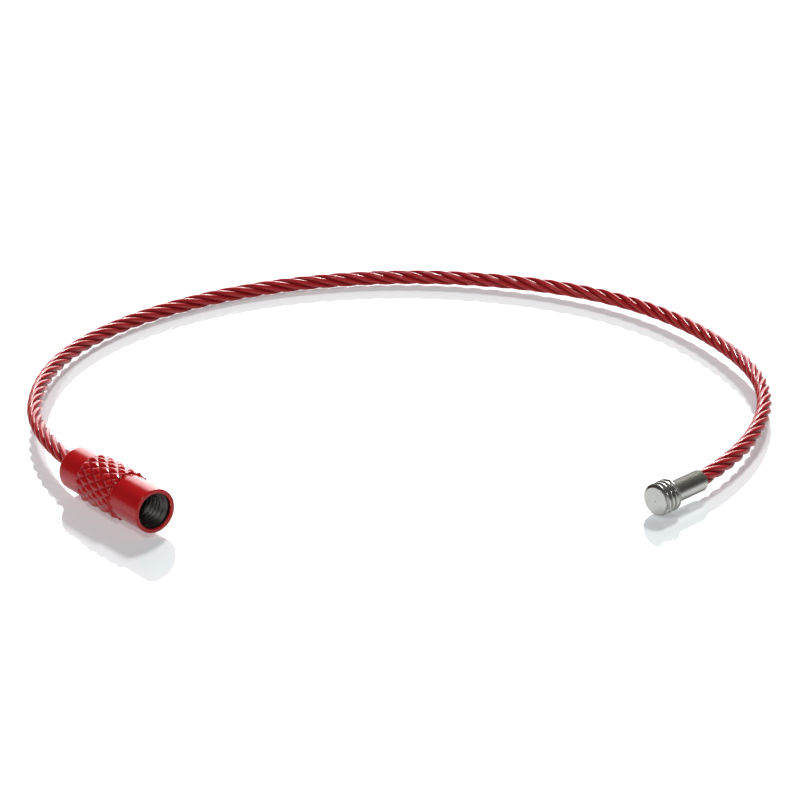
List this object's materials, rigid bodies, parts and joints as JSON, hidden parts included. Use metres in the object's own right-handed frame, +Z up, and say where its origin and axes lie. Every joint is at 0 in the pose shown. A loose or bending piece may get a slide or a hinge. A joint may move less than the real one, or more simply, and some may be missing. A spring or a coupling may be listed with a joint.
{
  "type": "screw-lock wire rope key ring",
  "caption": "Open loop of red stranded wire rope with a knurled screw barrel at one end and a nickel threaded stud at the other, which screw together to close the ring.",
  "frame": {"origin": "on the table, at the middle of the open loop's box", "axes": "+Z up from the table, +X across the loop from the barrel's side to the stud's side, the loop opens towards -Y"},
  "size_m": [0.0952, 0.0896, 0.0062],
  "materials": {
    "red_barrel": "gloss red enamel over steel",
    "red_rope": "gloss red coat on stranded steel wire",
    "nickel_stud": "bright nickel plate",
    "ferrule_steel": "plain crimped steel"
  },
  "bodies": {
    "barrel_end_of_rope": {"wire_rope_1": "red_rope"},
    "stop": {"stop_ferrule": "ferrule_steel"},
    "barrel": {"screw_barrel": "red_barrel"},
    "rope_2": {"wire_rope_2": "red_rope"},
    "rope_3": {"wire_rope_3": "red_rope"},
    "rope_4": {"wire_rope_4": "red_rope"},
    "rope_5": {"wire_rope_5": "red_rope"},
    "rope_6": {"wire_rope_6": "red_rope"},
    "stud_end_of_rope": {"wire_rope_7": "red_rope", "threaded_stud": "nickel_stud"}
  },
  "joints": [
    {"name": "barrel_spin", "type": "hinge", "parent": "barrel_end_of_rope", "child": "stop", "pos_m": [-0.03622, -0.0332, 0.0031], "axis": [0.6088, -0.7934, 0], "continuous": true},
    {"name": "barrel_slide", "type": "slide", "parent": "stop", "child": "barrel", "axis": [-0.6088, 0.7934, 0], "range_m": [0, 0.003]},
    {"name": "loop_flex_1", "type": "hinge", "parent": "barrel_end_of_rope", "child": "rope_2", "pos_m": [-0.04574, -0.01417, 0.0027], "axis": [-0.0133, -0.0116, -0.9998], "range_deg": [-5, 27.67], "stiffness_Nm_per_rad": 0.02},
    {"name": "loop_flex_2", "type": "hinge", "parent": "rope_2", "child": "rope_3", "pos_m": [-0.04126, 0.01945, 0.00127], "axis": [-0.0164, -0.0029, -0.9999], "range_deg": [-3.01, 16.43], "stiffness_Nm_per_rad": 0.02},
    {"name": "loop_flex_3", "type": "hinge", "parent": "rope_3", "child": "rope_4", "pos_m": [-0.01539, 0.04117, 0.00103], "axis": [-0.0091, 0.0015, -1], "range_deg": [-1.14, 6.08], "stiffness_Nm_per_rad": 0.02},
    {"name": "loop_flex_4", "type": "hinge", "parent": "rope_4", "child": "rope_5", "pos_m": [0.01843, 0.0402, 0.00126], "axis": [-0.009, 0.0042, -1], "range_deg": [-1.1, 5.88], "stiffness_Nm_per_rad": 0.02},
    {"name": "loop_flex_5", "type": "hinge", "parent": "rope_5", "child": "rope_6", "pos_m": [0.04193, 0.01616, 0.0018], "axis": [-0.0173, 0.0114, -0.9998], "range_deg": [-2.93, 16.02], "stiffness_Nm_per_rad": 0.02},
    {"name": "loop_flex_6", "type": "hinge", "parent": "rope_6", "child": "stud_end_of_rope", "pos_m": [0.0441, -0.01736, 0.002], "axis": [-0.0093, 0.0089, -0.9999], "range_deg": [-4.96, 27.2], "stiffness_Nm_per_rad": 0.02}
  ],
  "couplings": [
    {"joint": "loop_flex_2", "follows": "loop_flex_1", "ratio": 0.5918},
    {"joint": "loop_flex_3", "follows": "loop_flex_1", "ratio": 0.2179},
    {"joint": "loop_flex_4", "follows": "loop_flex_1", "ratio": 0.2107},
    {"joint": "loop_flex_5", "follows": "loop_flex_1", "ratio": 0.577},
    {"joint": "loop_flex_6", "follows": "loop_flex_1", "ratio": 0.9813}
  ]
}
